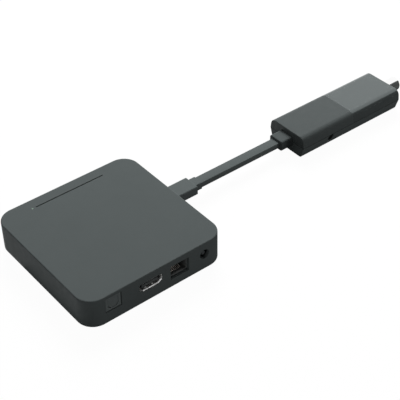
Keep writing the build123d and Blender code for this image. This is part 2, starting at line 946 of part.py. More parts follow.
with BuildPart() as processor:
    with BuildSketch(Plane.XY.offset(board_top)):
        with Locations((0, processor_y)):
            Rectangle(processor_side, processor_side)
    extrude(amount=processor_height)
processor.part.label = "processor"
export_step(processor.part, "parts/processor.step")

with BuildPart() as thermal_pad:
    with BuildSketch(Plane.XY.offset(processor_top)):
        with Locations((0, processor_y)):
            Rectangle(processor_side, processor_side)
    extrude(amount=thermal_pad_height)
thermal_pad.part.label = "thermal_pad"
export_step(thermal_pad.part, "parts/thermal_pad.step")

with BuildPart() as heat_sink:
    with BuildSketch(Plane.XY.offset(pad_top)):
        with Locations((0, processor_y)):
            Rectangle(heat_sink_side, heat_sink_side)
    extrude(amount=heat_sink_base)
    with BuildSketch(Plane.XY.offset(pad_top + heat_sink_base)):
        with Locations((0, processor_y)):
            with GridLocations(fin_pitch, 1, heat_sink_fins, 1):
                Rectangle(heat_sink_fin_thickness, heat_sink_side)
    extrude(amount=heat_sink_fin_height)
heat_sink.part.label = "heat_sink"
export_step(heat_sink.part, "parts/heat_sink.step")

# Memory, storage and radio

memory_y = processor_y + heat_sink_side / 2 + memory_width / 2 + chip_space
storage_x = -(heat_sink_side / 2 + flash_width / 2 + chip_space)

with BuildPart() as memory_chips:
    with BuildSketch(Plane.XY.offset(board_top)):
        with Locations((0, memory_y)):
            with GridLocations(memory_length + memory_gap, 1, 2, 1):
                Rectangle(memory_length, memory_width)
    extrude(amount=memory_height)
memory_chips.part.label = "memory_chips"
export_step(memory_chips.part, "parts/memory_chips.step")

with BuildPart() as storage_chip:
    with BuildSketch(Plane.XY.offset(board_top)):
        with Locations((storage_x, processor_y)):
            Rectangle(flash_width, flash_length)
    extrude(amount=memory_height)
storage_chip.part.label = "storage_chip"
export_step(storage_chip.part, "parts/storage_chip.step")

radio_y = processor_y - flash_length / 2 - radio_width / 2 - chip_space

with BuildPart() as radio_can:
    with BuildSketch(Plane.XY.offset(board_top)):
        with Locations((storage_x, radio_y)):
            Rectangle(radio_length, radio_width)
    extrude(amount=radio_height)
    fillet(radio_can.edges().filter_by(Axis.Z), chip_corner)
radio_can.part.label = "radio_can"
export_step(radio_can.part, "parts/radio_can.step")

# Sheet metal antennas that stand at the left and back edges of the board

antenna_y = board_half - antenna_foot - antenna_inset
left_antenna_x = antenna_inset - board_half

with BuildPart() as antennas:
    with BuildSketch(Plane.XY.offset(board_top)):
        with Locations((antenna_length / 2, antenna_y)):
            Rectangle(antenna_length, antenna_foot, align=(Align.CENTER, Align.MIN))
        with Locations((left_antenna_x, 0)):
            Rectangle(antenna_foot, antenna_length, align=(Align.MIN, Align.CENTER))
    extrude(amount=antenna_sheet)
    with BuildSketch(Plane.XY.offset(board_top)):
        with Locations((antenna_length / 2, antenna_y)):
            Rectangle(antenna_length, antenna_sheet, align=(Align.CENTER, Align.MIN))
        with Locations((left_antenna_x + antenna_foot - antenna_sheet, 0)):
            Rectangle(antenna_sheet, antenna_length, align=(Align.MIN, Align.CENTER))
    extrude(amount=antenna_height)
antennas.part.label = "antennas"
export_step(antennas.part, "parts/antennas.step")

# Network transformer, power coils and capacitors

jack_end = jack_body_depth + shield_sheet - jack_front
transformer_y = jack_end + transformer_gap + transformer_width / 2
transformer_right = power_x - capacitor_radius - transformer_space
transformer_x = transformer_right - transformer_length / 2

with BuildPart() as network_transformer:
    with BuildSketch(Plane.XY.offset(board_top)):
        with Locations((transformer_x, transformer_y)):
            Rectangle(transformer_length, transformer_width)
    extrude(amount=transformer_height)
network_transformer.part.label = "network_transformer"
export_step(network_transformer.part, "parts/network_transformer.step")

coil_x = heat_sink_side / 2 + coil_side / 2 + chip_space

with BuildPart() as power_coils:
    with BuildSketch(Plane.XY.offset(board_top)):
        with Locations((coil_x, memory_y - coil_pitch)):
            with GridLocations(1, coil_pitch, 1, coil_count):
                RectangleRounded(coil_side, coil_side, chip_corner)
    extrude(amount=coil_height)
power_coils.part.label = "power_coils"
export_step(power_coils.part, "parts/power_coils.step")

capacitor_y = power_depth - inner_half + capacitor_radius + chip_space

with BuildPart() as capacitors:
    with BuildSketch(Plane.XY.offset(board_top)):
        with Locations((power_x, capacitor_y + capacitor_pitch / 2)):
            with GridLocations(1, capacitor_pitch, 1, capacitor_count):
                Circle(capacitor_radius)
    extrude(amount=capacitor_height)
capacitors.part.label = "capacitors"
export_step(capacitors.part, "parts/capacitors.step")

# Cable plug: metal shell, core with the slot for the tongue, and moulded housing

plug_tip = overmould_x - plug_reach

with BuildPart() as plug_shell:
    with BuildSketch(cable_side.offset(plug_tip)):
        with Locations((cable_y, cable_z)):
            add(slot(plug_width, plug_height))
    extrude(amount=plug_reach + overmould_pocket)
    fillet(plug_shell.faces().sort_by(Axis.X)[0].edges(), plug_sheet / 2)
    with BuildSketch(cable_side.offset(plug_tip)):
        with Locations((cable_y, cable_z)):
            add(slot(plug_width - 2 * plug_sheet, plug_height - 2 * plug_sheet))
    extrude(amount=plug_reach + overmould_pocket, mode=Mode.SUBTRACT)
plug_shell.part.label = "plug_shell"
export_step(plug_shell.part, "parts/plug_shell.step")

core_width = plug_width - 2 * plug_sheet - 2 * core_fit
core_height = plug_height - 2 * plug_sheet - 2 * core_fit

with BuildPart() as plug_core:
    with BuildSketch(cable_side.offset(plug_tip + plug_sheet)):
        with Locations((cable_y, cable_z)):
            add(slot(core_width, core_height))
    extrude(amount=plug_reach + overmould_pocket - plug_sheet)
    with BuildSketch(cable_side.offset(plug_tip)):
        with Locations((cable_y, cable_z)):
            Rectangle(tongue_width + 2 * tongue_gap, tongue_thickness + 2 * tongue_gap)
    extrude(amount=tongue_length + slot_margin, mode=Mode.SUBTRACT)
plug_core.part.label = "plug_core"
export_step(plug_core.part, "parts/plug_core.step")

with BuildPart() as plug_housing:
    with BuildSketch(cable_side.offset(overmould_x)):
        with Locations((cable_y, cable_z)):
            RectangleRounded(overmould_width, overmould_height, overmould_corner)
    extrude(amount=overmould_length)
    fillet(plug_housing.faces().sort_by(Axis.X)[0].edges(), overmould_end_radius)
    fillet(plug_housing.faces().sort_by(Axis.X)[-1].edges(), overmould_end_radius)
    with BuildSketch(cable_side.offset(overmould_x)):
        with Locations((cable_y, cable_z)):
            add(slot(plug_width + 2 * core_fit, plug_height + 2 * core_fit))
    extrude(amount=overmould_pocket, mode=Mode.SUBTRACT)
plug_housing.part.label = "plug_housing"
export_step(plug_housing.part, "parts/plug_housing.step")

with BuildPart() as plug_relief:
    with BuildSketch(cable_side.offset(relief_x)):
        with Locations((cable_y, cable_z)):
            RectangleRounded(relief_width, relief_height, relief_corner)
    extrude(amount=relief_length)
    fillet(plug_relief.faces().sort_by(Axis.X)[-1].edges(), overmould_end_radius)
plug_relief.part.label = "plug_relief"
export_step(plug_relief.part, "parts/plug_relief.step")

# Flat cable: one straight run from the plug's relief to the boot on the stick

cable_route = [(cable_x, cable_y, cable_z), (boot_x, cable_y, cable_z)]

with BuildPart() as flat_cable:
    with BuildLine() as cable_path:
        Polyline(*cable_route)
    with BuildSketch(cable_side.offset(cable_x)):
        with Locations((cable_y, cable_z)):
            RectangleRounded(cable_width, cable_thickness, cable_corner)
    sweep(path=cable_path.line)
flat_cable.part.label = "flat_cable"
export_step(flat_cable.part, "parts/flat_cable.step")

cable_run = sum(edge.length for edge in cable_path.edges())
print("cable run", round(cable_run, 2), "straight, with no arcs")

# Boot, held by its collar inside the end of the stick

collar_x = stick_x + stick_end_wall + boot_fit

with BuildPart() as cable_boot:
    with BuildSketch(cable_side.offset(boot_x)):
        with Locations((cable_y, cable_z)):
            RectangleRounded(boot_width, boot_height, boot_corner)
    extrude(amount=collar_x + boot_collar_length - boot_x)
    fillet(cable_boot.faces().sort_by(Axis.X)[0].edges(), boot_end_radius)
    with BuildSketch(cable_side.offset(collar_x)):
        with Locations((cable_y, cable_z)):
            RectangleRounded(
                boot_width + 2 * boot_collar, boot_height + 2 * boot_collar, boot_corner
            )
    extrude(amount=boot_collar_length)
cable_boot.part.label = "cable_boot"
export_step(cable_boot.part, "parts/cable_boot.step")


def cover_outline(inset):
    """The section of the stick above its seam, with round shoulders."""
    top = stick_top_width / 2 - inset
    seam = stick_seam_width / 2 - inset
    with BuildSketch() as outline:
        with BuildLine():
            Polyline(
                (-seam, stick_seam_height), (seam, stick_seam_height),
                (top, stick_height - inset), (-top, stick_height - inset), close=True,
            )
        make_face()
        fillet(outline.vertices().group_by(Axis.Y)[-1], stick_shoulder - inset)
    return outline.sketch


def tray_outline(inset):
    """The section of the stick below its seam, which gets narrower towards its base."""
    base = stick_base_width / 2 - inset
    seam = stick_seam_width / 2 - inset
    with BuildSketch() as outline:
        with BuildLine():
            Polyline(
                (-seam, stick_seam_height), (seam, stick_seam_height),
                (base, inset), (-base, inset), close=True,
            )
        make_face()
        fillet(outline.vertices().group_by(Axis.Y)[0], stick_base_radius)
    return outline.sketch


# Rear cover of the stick, with the upper half of the boot's opening in its end

rear_length = stick_split - split_gap / 2
front_length = stick_length - stick_split - split_gap / 2

with BuildPart() as stick_rear_cover:
    with BuildSketch(cable_side.offset(stick_x)):
        with Locations((cable_y, 0)):
            add(cover_outline(0))
    extrude(amount=rear_length)
    fillet(stick_rear_cover.faces().sort_by(Axis.X)[0].edges().sort_by(Axis.Z)[1:], stick_end_radius)
    with BuildSketch(cable_side.offset(stick_x + stick_end_wall)):
        with Locations((cable_y, 0)):
            add(cover_outline(stick_wall))
    extrude(amount=rear_length - stick_end_wall, mode=Mode.SUBTRACT)
    with BuildSketch(cable_side.offset(stick_x)):
        with Locations((cable_y, cable_z)):
            RectangleRounded(
                boot_width + 2 * boot_fit, boot_height + 2 * boot_fit, boot_corner + boot_fit
            )
    extrude(amount=stick_end_wall, mode=Mode.SUBTRACT)
stick_rear_cover.part.label = "stick_rear_cover"
export_step(stick_rear_cover.part, "parts/stick_rear_cover.step")

# Front cover of the stick, with the upper half of the aerial plug's opening in its end

with BuildPart() as stick_front_cover:
    with BuildSketch(cable_side.offset(stick_end)):
        with Locations((cable_y, 0)):
            add(cover_outline(0))
    extrude(amount=-front_length)
    fillet(stick_front_cover.faces().sort_by(Axis.X)[-1].edges().sort_by(Axis.Z)[1:], stick_end_radius)
    with BuildSketch(cable_side.offset(stick_end - stick_end_wall)):
        with Locations((cable_y, 0)):
            add(cover_outline(stick_wall))
    extrude(amount=stick_end_wall - front_length, mode=Mode.SUBTRACT)
    with BuildSketch(cable_side.offset(stick_end)):
        with Locations((cable_y, aerial_height)):
            Circle(aerial_neck_radius + aerial_fit)
    extrude(amount=-stick_end_wall, mode=Mode.SUBTRACT)
stick_front_cover.part.label = "stick_front_cover"
export_step(stick_front_cover.part, "parts/stick_front_cover.step")

# Lower shell of the stick, with the board's posts and the button's hole

seam_plane = Plane.XY.offset(stick_seam_height)
button_face = cable_y - stick_seam_width / 2
stick_board_bottom = stick_seam_height - stick_board_drop
stick_board_top = stick_board_bottom + stick_board_thickness
flange_x = stick_end - stick_end_wall - aerial_fit - aerial_flange_thickness
stick_board_length = flange_x - stick_board_front - stick_x - stick_board_rear
seam_lean = (stick_seam_width - stick_base_width) / 2 / stick_seam_height
side_at_button = stick_base_width / 2 + seam_lean * button_height
button_front = cable_y - side_at_button + button_setback
button_back = button_front + button_length
stick_board_width = 2 * (cable_y - button_back - button_travel - stick_board_side)
board_middle = stick_x + stick_board_rear + stick_board_length / 2
stick_post_x = stick_board_length / 2 - stick_post_inset

with BuildPart() as stick_lower_shell:
    with BuildSketch(cable_side.offset(stick_x)):
        with Locations((cable_y, 0)):
            add(tray_outline(0))
    extrude(amount=stick_length)
    fillet(stick_lower_shell.faces().sort_by(Axis.X)[0].edges().sort_by(Axis.Z)[:-1], stick_end_radius)
    fillet(stick_lower_shell.faces().sort_by(Axis.X)[-1].edges().sort_by(Axis.Z)[:-1], stick_end_radius)
    with BuildSketch(cable_side.offset(stick_x + stick_end_wall)):
        with Locations((cable_y, 0)):
            add(tray_outline(stick_wall))
    extrude(amount=stick_length - 2 * stick_end_wall, mode=Mode.SUBTRACT)
    with BuildSketch(cable_side.offset(stick_x)):
        with Locations((cable_y, cable_z)):
            RectangleRounded(
                boot_width + 2 * boot_fit, boot_height + 2 * boot_fit, boot_corner + boot_fit
            )
    extrude(amount=stick_end_wall, mode=Mode.SUBTRACT)
    with BuildSketch(cable_side.offset(stick_end)):
        with Locations((cable_y, aerial_height)):
            Circle(aerial_neck_radius + aerial_fit)
    extrude(amount=-stick_end_wall, mode=Mode.SUBTRACT)
    with BuildSketch(seam_plane):
        with Locations((stick_middle, cable_y)):
            Rectangle(stick_length, stick_seam_width)
            Rectangle(
                stick_length - 2 * seam_depth,
                stick_seam_width - 2 * seam_depth,
                mode=Mode.SUBTRACT,
            )
    extrude(amount=-seam_rebate, mode=Mode.SUBTRACT)
    with BuildSketch(Plane.XY.offset(stick_wall)):
        with Locations((board_middle, cable_y)):
            with GridLocations(2 * stick_post_x, 1, 2, 1):
                Circle(stick_post_radius)
    extrude(amount=stick_board_bottom - stick_wall)
    with BuildSketch(Plane.XY.offset(stick_board_bottom)):
        with Locations((board_middle, cable_y)):
            with GridLocations(2 * stick_post_x, 1, 2, 1):
                Circle(stick_screw_radius + screw_fit)
    extrude(amount=-stick_pilot_depth, mode=Mode.SUBTRACT)
    with BuildSketch(Plane.XZ.offset(-button_face)):
        with Locations((button_x, button_height)):
            Circle(button_radius + button_hole_gap)
    extrude(amount=-3 * stick_wall, mode=Mode.SUBTRACT)
stick_lower_shell.part.label = "stick_lower_shell"
export_step(stick_lower_shell.part, "parts/stick_lower_shell.step")

# Stick board and the screws that hold it

with BuildPart() as stick_board:
    with BuildSketch(Plane.XY.offset(stick_board_bottom)):
        with Locations((board_middle, cable_y)):
            Rectangle(stick_board_length, stick_board_width)
            with GridLocations(2 * stick_post_x, 1, 2, 1):
                Circle(stick_screw_radius + cutout_gap, mode=Mode.SUBTRACT)
    extrude(amount=stick_board_thickness)
stick_board.part.label = "stick_board"
export_step(stick_board.part, "parts/stick_board.step")

with BuildPart() as stick_screws:
    with BuildSketch(Plane.XY.offset(stick_board_top)):
        with Locations((board_middle, cable_y)):
            with GridLocations(2 * stick_post_x, 1, 2, 1):
                Circle(stick_screw_head_radius)
    extrude(amount=stick_screw_head_height)
    with BuildSketch(Plane.XY.offset(stick_board_top)):
        with Locations((board_middle, cable_y)):
            with GridLocations(2 * stick_post_x, 1, 2, 1):
                Circle(stick_screw_radius)
    extrude(amount=-stick_screw_length)
stick_screws.part.label = "stick_screws"
export_step(stick_screws.part, "parts/stick_screws.step")

# Tuner can and the signal chip

tuner_x = flange_x - stick_board_front - tuner_inset - tuner_length / 2
stick_chip_x = tuner_x - tuner_length / 2 - stick_chip_gap - stick_chip_side / 2

with BuildPart() as tuner_can:
    with BuildSketch(Plane.XY.offset(stick_board_top)):
        with Locations((tuner_x, cable_y)):
            Rectangle(tuner_length, tuner_width)
    extrude(amount=tuner_height)
    fillet(tuner_can.edges().filter_by(Axis.Z), chip_corner)
    fillet(tuner_can.faces().sort_by(Axis.Z)[-1].edges(), tuner_sheet)
tuner_can.part.label = "tuner_can"
export_step(tuner_can.part, "parts/tuner_can.step")

with BuildPart() as signal_chip:
    with BuildSketch(Plane.XY.offset(stick_board_top)):
        with Locations((stick_chip_x, cable_y)):
            Rectangle(stick_chip_side, stick_chip_side)
    extrude(amount=stick_chip_height)
signal_chip.part.label = "signal_chip"
export_step(signal_chip.part, "parts/signal_chip.step")

# Stick button, set back in its hole, with a flange behind the wall

with BuildPart() as stick_button:
    with BuildSketch(Plane.XZ.offset(-button_front)):
        with Locations((button_x, button_height)):
            Circle(button_radius)
    extrude(amount=-button_length)
    with BuildSketch(Plane.XZ.offset(-button_back)):
        with Locations((button_x, button_height)):
            Circle(button_radius + button_flange)
    extrude(amount=button_flange_thickness)
    fillet(stick_button.faces().sort_by(Axis.Y)[0].edges(), button_slack)
stick_button.part.label = "stick_button"
export_step(stick_button.part, "parts/stick_button.step")

# Switch behind the button, and its plunger

plunger_gap = button_travel + plunger_reach

with BuildPart() as tact_switch:
    with BuildSketch(Plane.XY.offset(stick_board_top)):
        with Locations((button_x, button_back + plunger_gap)):
            Rectangle(switch_width, switch_depth, align=(Align.CENTER, Align.MIN))
    extrude(amount=switch_height)
    with BuildSketch(Plane.XZ.offset(-button_back - plunger_gap)):
        with Locations((button_x, button_height)):
            Circle(plunger_radius + plunger_fit)
    extrude(amount=-plunger_in - button_travel - button_slack, mode=Mode.SUBTRACT)
tact_switch.part.label = "tact_switch"
export_step(tact_switch.part, "parts/tact_switch.step")

with BuildPart() as switch_plunger:
    with BuildSketch(Plane.XZ.offset(-button_back)):
        with Locations((button_x, button_height)):
            Circle(plunger_radius)
    extrude(amount=-plunger_gap - plunger_in)
switch_plunger.part.label = "switch_plunger"
export_step(switch_plunger.part, "parts/switch_plunger.step")

# Aerial plug: sleeve with a flange inside the end wall, insulator and centre pin

with BuildPart() as aerial_sleeve:
    with BuildSketch(cable_side.offset(stick_end + aerial_fit)):
        with Locations((cable_y, aerial_height)):
            Circle(aerial_radius)
    extrude(amount=aerial_length - aerial_fit)
    fillet(aerial_sleeve.faces().sort_by(Axis.X)[-1].edges(), aerial_edge)
    with BuildSketch(cable_side.offset(flange_x)):
        with Locations((cable_y, aerial_height)):
            Circle(aerial_neck_radius)
    extrude(amount=stick_end + aerial_fit - flange_x)
    with BuildSketch(cable_side.offset(flange_x)):
        with Locations((cable_y, aerial_height)):
            Circle(aerial_flange_radius)
    extrude(amount=aerial_flange_thickness)
    with BuildSketch(cable_side.offset(flange_x)):
        with Locations((cable_y, aerial_height)):
            Circle(aerial_bore_radius)
    extrude(amount=aerial_end - flange_x, mode=Mode.SUBTRACT)
aerial_sleeve.part.label = "aerial_sleeve"
export_step(aerial_sleeve.part, "parts/aerial_sleeve.step")

with BuildPart() as aerial_insulator:
    with BuildSketch(cable_side.offset(flange_x)):
        with Locations((cable_y, aerial_height)):
            Circle(aerial_bore_radius - aerial_inner_fit)
            Circle(aerial_pin_radius + aerial_inner_fit, mode=Mode.SUBTRACT)
    extrude(amount=aerial_insulator_length)
aerial_insulator.part.label = "aerial_insulator"
export_step(aerial_insulator.part, "parts/aerial_insulator.step")

with BuildPart() as aerial_pin:
    with BuildSketch(cable_side.offset(flange_x - aerial_pin_tail)):
        with Locations((cable_y, aerial_height)):
            Circle(aerial_pin_radius)
    extrude(amount=aerial_end - aerial_pin_setback - flange_x + aerial_pin_tail)
    fillet(aerial_pin.faces().sort_by(Axis.X)[-1].edges(), aerial_edge)
aerial_pin.part.label = "aerial_pin"
export_step(aerial_pin.part, "parts/aerial_pin.step")
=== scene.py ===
import math

import bpy
from mathutils import Matrix, Vector


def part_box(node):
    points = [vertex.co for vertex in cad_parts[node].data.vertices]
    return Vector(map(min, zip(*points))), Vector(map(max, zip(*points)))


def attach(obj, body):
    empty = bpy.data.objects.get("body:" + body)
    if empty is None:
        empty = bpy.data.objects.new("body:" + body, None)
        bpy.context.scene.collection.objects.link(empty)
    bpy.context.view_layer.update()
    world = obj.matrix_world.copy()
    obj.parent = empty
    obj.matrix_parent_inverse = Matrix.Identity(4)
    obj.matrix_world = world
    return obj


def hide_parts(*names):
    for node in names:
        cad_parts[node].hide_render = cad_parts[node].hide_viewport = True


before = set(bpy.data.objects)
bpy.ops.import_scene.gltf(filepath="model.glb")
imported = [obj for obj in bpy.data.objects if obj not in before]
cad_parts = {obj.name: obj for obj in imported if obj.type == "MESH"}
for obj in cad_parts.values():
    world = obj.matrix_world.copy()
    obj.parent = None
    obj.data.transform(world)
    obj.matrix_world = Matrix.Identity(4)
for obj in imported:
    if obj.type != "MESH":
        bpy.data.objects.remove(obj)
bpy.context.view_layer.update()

bl_info = {
    "name": "Streaming box with a tuner stick",
    "version": (1, 0, 0),
    "blender": (4, 5, 0),
    "location": "View3D > Sidebar > Streaming box",
    "description": "Gives the box, its cable and its stick their finishes, light and camera",
    "category": "Object",
}

CABLE_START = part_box("plug_relief")[1].x
CABLE_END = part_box("cable_boot")[0].x
CABLE_LOW, CABLE_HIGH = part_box("flat_cable")
CABLE_Y = (CABLE_LOW.y + CABLE_HIGH.y) / 2
CABLE_Z = (CABLE_LOW.z + CABLE_HIGH.z) / 2

# Painted shade: a dark line round the stick, standing in for the shadow in the groove where its
# covers meet its lower shell
SEAM_Z = 0.0079
SEAM_SHADE_WIDTH = 0.00028

# How deep the painted highlights on the rims of the network and picture sockets reach into their
# mouths
JACK_RIM_HIGHLIGHT = 0.0003
SHELL_RIM_HIGHLIGHT = 0.0001

# The point that the camera looks at
CAMERA_TARGET = Vector((0.067831, 0.002754, 0))

# Each lamp's place, the point that it faces and its two sides
LAMPS = {
    "overhead": ((0.62, 0.72, 0.8), (0.05, 0, 0), (0.7, 0.7)),
    "side": ((-0.75, -0.35, 0.2), (0, 0, 0), (0.4, 0.4)),
    "front": ((0.75, -0.75, 0.15), (0.1, 0, 0), (0.5, 0.3)),
}

# The floor, and how far it glows where it is seen: what is left keeps the object's shadow
FLOOR_SIDE = 6
FLOOR_PLACE = (0.1, 0, -0.0001)
FLOOR_GLOW = 0.97

# The card that only shiny faces see: painted shade in their reflections, standing in for the
# shaded floor in front of the box
CARD_PLACE = (0.3, -0.05, 0.0001)
CARD_LENGTH = 0.7
CARD_DEPTH = 0.14
CARD_HEIGHT = 0.25


# What a user can change

class BoxFinish(bpy.types.PropertyGroup):
    """Colours and finish of the mouldings"""

    shell_colour: bpy.props.FloatVectorProperty(
        name="Box shell", description="Colour of the box's top and sides",
        subtype="COLOR", size=3, min=0, max=1, default=(0.0835, 0.0955, 0.0955),
    )
    stick_colour: bpy.props.FloatVectorProperty(
        name="Stick", description="Colour of the stick's satin half and lower shell",
        subtype="COLOR", size=3, min=0, max=1, default=(0.068, 0.0777, 0.0777),
    )
    gloss_colour: bpy.props.FloatVectorProperty(
        name="Glossier half", description="Colour of the half of the stick with more gloss",
        subtype="COLOR", size=3, min=0, max=1, default=(0.0575, 0.0656, 0.0656),
    )
    cable_colour: bpy.props.FloatVectorProperty(
        name="Cable and plug", description="Colour of the cable's jacket, plug and boot",
        subtype="COLOR", size=3, min=0, max=1, default=(0.0962, 0.11, 0.11),
    )
    grain: bpy.props.FloatProperty(
        name="Grain", description="Size of the fine texture on the mouldings",
        subtype="DISTANCE", unit="LENGTH", min=0.0001, max=0.003, default=0.00045,
    )


class CableSize(bpy.types.PropertyGroup):
    """The flat cable's section"""

    width: bpy.props.FloatProperty(
        name="Width", description="Width of the flat cable",
        subtype="DISTANCE", unit="LENGTH", min=0.001, max=0.02,
        default=CABLE_HIGH.y - CABLE_LOW.y,
    )
    thickness: bpy.props.FloatProperty(
        name="Thickness", description="Thickness of the flat cable",
        subtype="DISTANCE", unit="LENGTH", min=0.0005, max=0.01,
        default=CABLE_HIGH.z - CABLE_LOW.z,
    )
    corner: bpy.props.FloatProperty(
        name="Corner", description="Radius along the flat cable's edges",
        subtype="DISTANCE", unit="LENGTH", min=0.0001, max=0.005, default=0.0003,
    )


class StageLight(bpy.types.PropertyGroup):
    """Lamps, floor and camera"""

    overhead: bpy.props.FloatProperty(
        name="Overhead lamp", description="Power of the large soft lamp above the box",
        unit="POWER", min=0, max=100, default=24.5,
    )
    front: bpy.props.FloatProperty(
        name="Front lamp", description="Power of the weak lamp before the ports",
        unit="POWER", min=0, max=100, default=2.9,
    )
    side: bpy.props.FloatProperty(
        name="Side lamp", description="Power of the soft lamp on the left",
        unit="POWER", min=0, max=100, default=1.0,
    )
    surround: bpy.props.FloatProperty(
        name="Surround", description="Brightness of the grey surround that fills the shadows",
        min=0, max=2, default=0.10,
    )
    floor_colour: bpy.props.FloatVectorProperty(
        name="Floor", description="Colour of the plain floor",
        subtype="COLOR", size=3, min=0, max=1, default=(0.12, 0.12, 0.12),
    )
    azimuth: bpy.props.FloatProperty(
        name="Camera azimuth",
        description="Direction that the camera stands in, from the port side",
        subtype="ANGLE", unit="ROTATION", default=math.radians(-38.289),
    )
    elevation: bpy.props.FloatProperty(
        name="Camera elevation", description="Height of the camera above the horizon",
        subtype="ANGLE", unit="ROTATION", default=math.radians(39.539),
    )
    roll: bpy.props.FloatProperty(
        name="Camera roll", description="Turn of the camera about its own line of sight",
        subtype="ANGLE", unit="ROTATION", default=math.radians(-0.781),
    )
    distance: bpy.props.FloatProperty(
        name="Camera distance",
        description="Distance from the camera to the point that it looks at",
        subtype="DISTANCE", unit="LENGTH", min=0.1, max=5, default=0.647444,
    )
    lens: bpy.props.FloatProperty(
        name="Lens", description="Focal length on a 36 mm wide sensor",
        min=10, max=300, default=96.6,
    )


# Materials

def new_material(name):
    """An empty node material with a Principled shader joined to its output."""
    material = bpy.data.materials.new(name)
    material.use_nodes = True
    tree = material.node_tree
    tree.nodes.clear()
    output = tree.nodes.new("ShaderNodeOutputMaterial")
    shader = tree.nodes.new("ShaderNodeBsdfPrincipled")
    tree.links.new(shader.outputs["BSDF"], output.inputs["Surface"])
    return material, tree, shader


def principled(material):
    """The material's Principled shader."""
    return next(node for node in material.node_tree.nodes if node.type == "BSDF_PRINCIPLED")


def scaled(colour, share):
    """The colour made darker by a share under 1 or lighter by one over 1."""
    return [c * share for c in colour]


def noise(tree, size, detail=3.0, stretch=(1, 1, 1)):
    """A noise on Object coordinates whose features are about size metres."""
    place = tree.nodes.new("ShaderNodeTexCoord")
    mapping = tree.nodes.new("ShaderNodeMapping")
    mapping.inputs["Scale"].default_value = stretch
    texture = tree.nodes.new("ShaderNodeTexNoise")
    texture.inputs["Scale"].default_value = 1.0 / size
    texture.inputs["Detail"].default_value = detail
    tree.links.new(place.outputs["Object"], mapping.inputs["Vector"])
    tree.links.new(mapping.outputs["Vector"], texture.inputs["Vector"])
    return texture.outputs["Fac"]


def tint(tree, shader, fac, colour, spread):
    """Colour that drifts by the given spread either side of one colour."""
    mix = tree.nodes.new("ShaderNodeMix")
    mix.data_type = "RGBA"
    low = scaled(colour, 1 - spread)
    high = [min(1, c) for c in scaled(colour, 1 + spread)]
    mix.inputs["A"].default_value = (*low, 1)
    mix.inputs["B"].default_value = (*high, 1)
    tree.links.new(fac, mix.inputs["Factor"])
    tree.links.new(mix.outputs["Result"], shader.inputs["Base Color"])


def vary_roughness(tree, shader, fac, low, high):
    """Roughness between two values, following a noise."""
    spread = tree.nodes.new("ShaderNodeMapRange")
    spread.inputs["From Min"].default_value = 0.3
    spread.inputs["From Max"].default_value = 0.7
    spread.inputs["To Min"].default_value = low
    spread.inputs["To Max"].default_value = high
    tree.links.new(fac, spread.inputs["Value"])
    tree.links.new(spread.outputs["Result"], shader.inputs["Roughness"])


def relief(tree, shader, fac, depth, edge=0.0):
    """A bump of the given depth in metres, over edges softened by a small radius."""
    bump = tree.nodes.new("ShaderNodeBump")
    bump.inputs["Distance"].default_value = depth
    tree.links.new(fac, bump.inputs["Height"])
    if edge:
        soft = tree.nodes.new("ShaderNodeBevel")
        soft.samples = 4
        soft.inputs["Radius"].default_value = edge
        tree.links.new(soft.outputs["Normal"], bump.inputs["Normal"])
    tree.links.new(bump.outputs["Normal"], shader.inputs["Normal"])


def moulded(name, colour, roughness, gloss, grain, depth=0.00001, edge=0.0):
    """Moulded plastic: a fine spark-eroded grain, a faint drift in colour, uneven sheen."""
    material, tree, shader = new_material(name)
    tint(tree, shader, noise(tree, 0.02, 2.0), colour, 0.03)
    vary_roughness(tree, shader, noise(tree, grain * 8, 2.0), roughness - 0.05, roughness + 0.05)
    relief(tree, shader, noise(tree, grain, 2.0), depth, edge=edge)
    shader.inputs["Specular IOR Level"].default_value = gloss
    return material


def plated(name, colour, roughness, spread=0.05, along=(1, 1, 1), metal=1.0):
    """Plated metal with uneven polish, stretched by along, and dulled where metal is under 1."""
    material, tree, shader = new_material(name)
    shader.inputs["Metallic"].default_value = metal
    tint(tree, shader, noise(tree, 0.004, 3.0), colour, spread)
    polish = noise(tree, 0.0012, 3.0, along)
    vary_roughness(tree, shader, polish, roughness - 0.06, roughness + 0.08)
    relief(tree, shader, noise(tree, 0.0005, 2.0, along), 0.000003)
    return material


def solder_mask(name):
    """Green circuit board with faint copper tracks under its mask."""
    material, tree, shader = new_material(name)
    place = tree.nodes.new("ShaderNodeTexCoord")
    tracks = tree.nodes.new("ShaderNodeTexBrick")
    tracks.inputs["Scale"].default_value = 420
    tracks.inputs["Mortar Size"].default_value = 0.03
    tracks.inputs["Color1"].default_value = (0.018, 0.11, 0.055, 1)
    tracks.inputs["Color2"].default_value = (0.022, 0.135, 0.068, 1)
    tracks.inputs["Mortar"].default_value = (0.06, 0.2, 0.09, 1)
    tree.links.new(place.outputs["Object"], tracks.inputs["Vector"])
    tree.links.new(tracks.outputs["Color"], shader.inputs["Base Color"])
    relief(tree, shader, tracks.outputs["Fac"], 0.00003)
    shader.inputs["Roughness"].default_value = 0.32
    return material


def light_moulding(name, colour):
    """Clear or opal moulding that lets some light through."""
    material, tree, shader = new_material(name)
    tint(tree, shader, noise(tree, 0.002, 2.0), colour, 0.06)
    vary_roughness(tree, shader, noise(tree, 0.0008), 0.15, 0.3)
    shader.inputs["Subsurface Weight"].default_value = 0.3
    shader.inputs["Subsurface Radius"].default_value = (0.001, 0.001, 0.001)
    return material


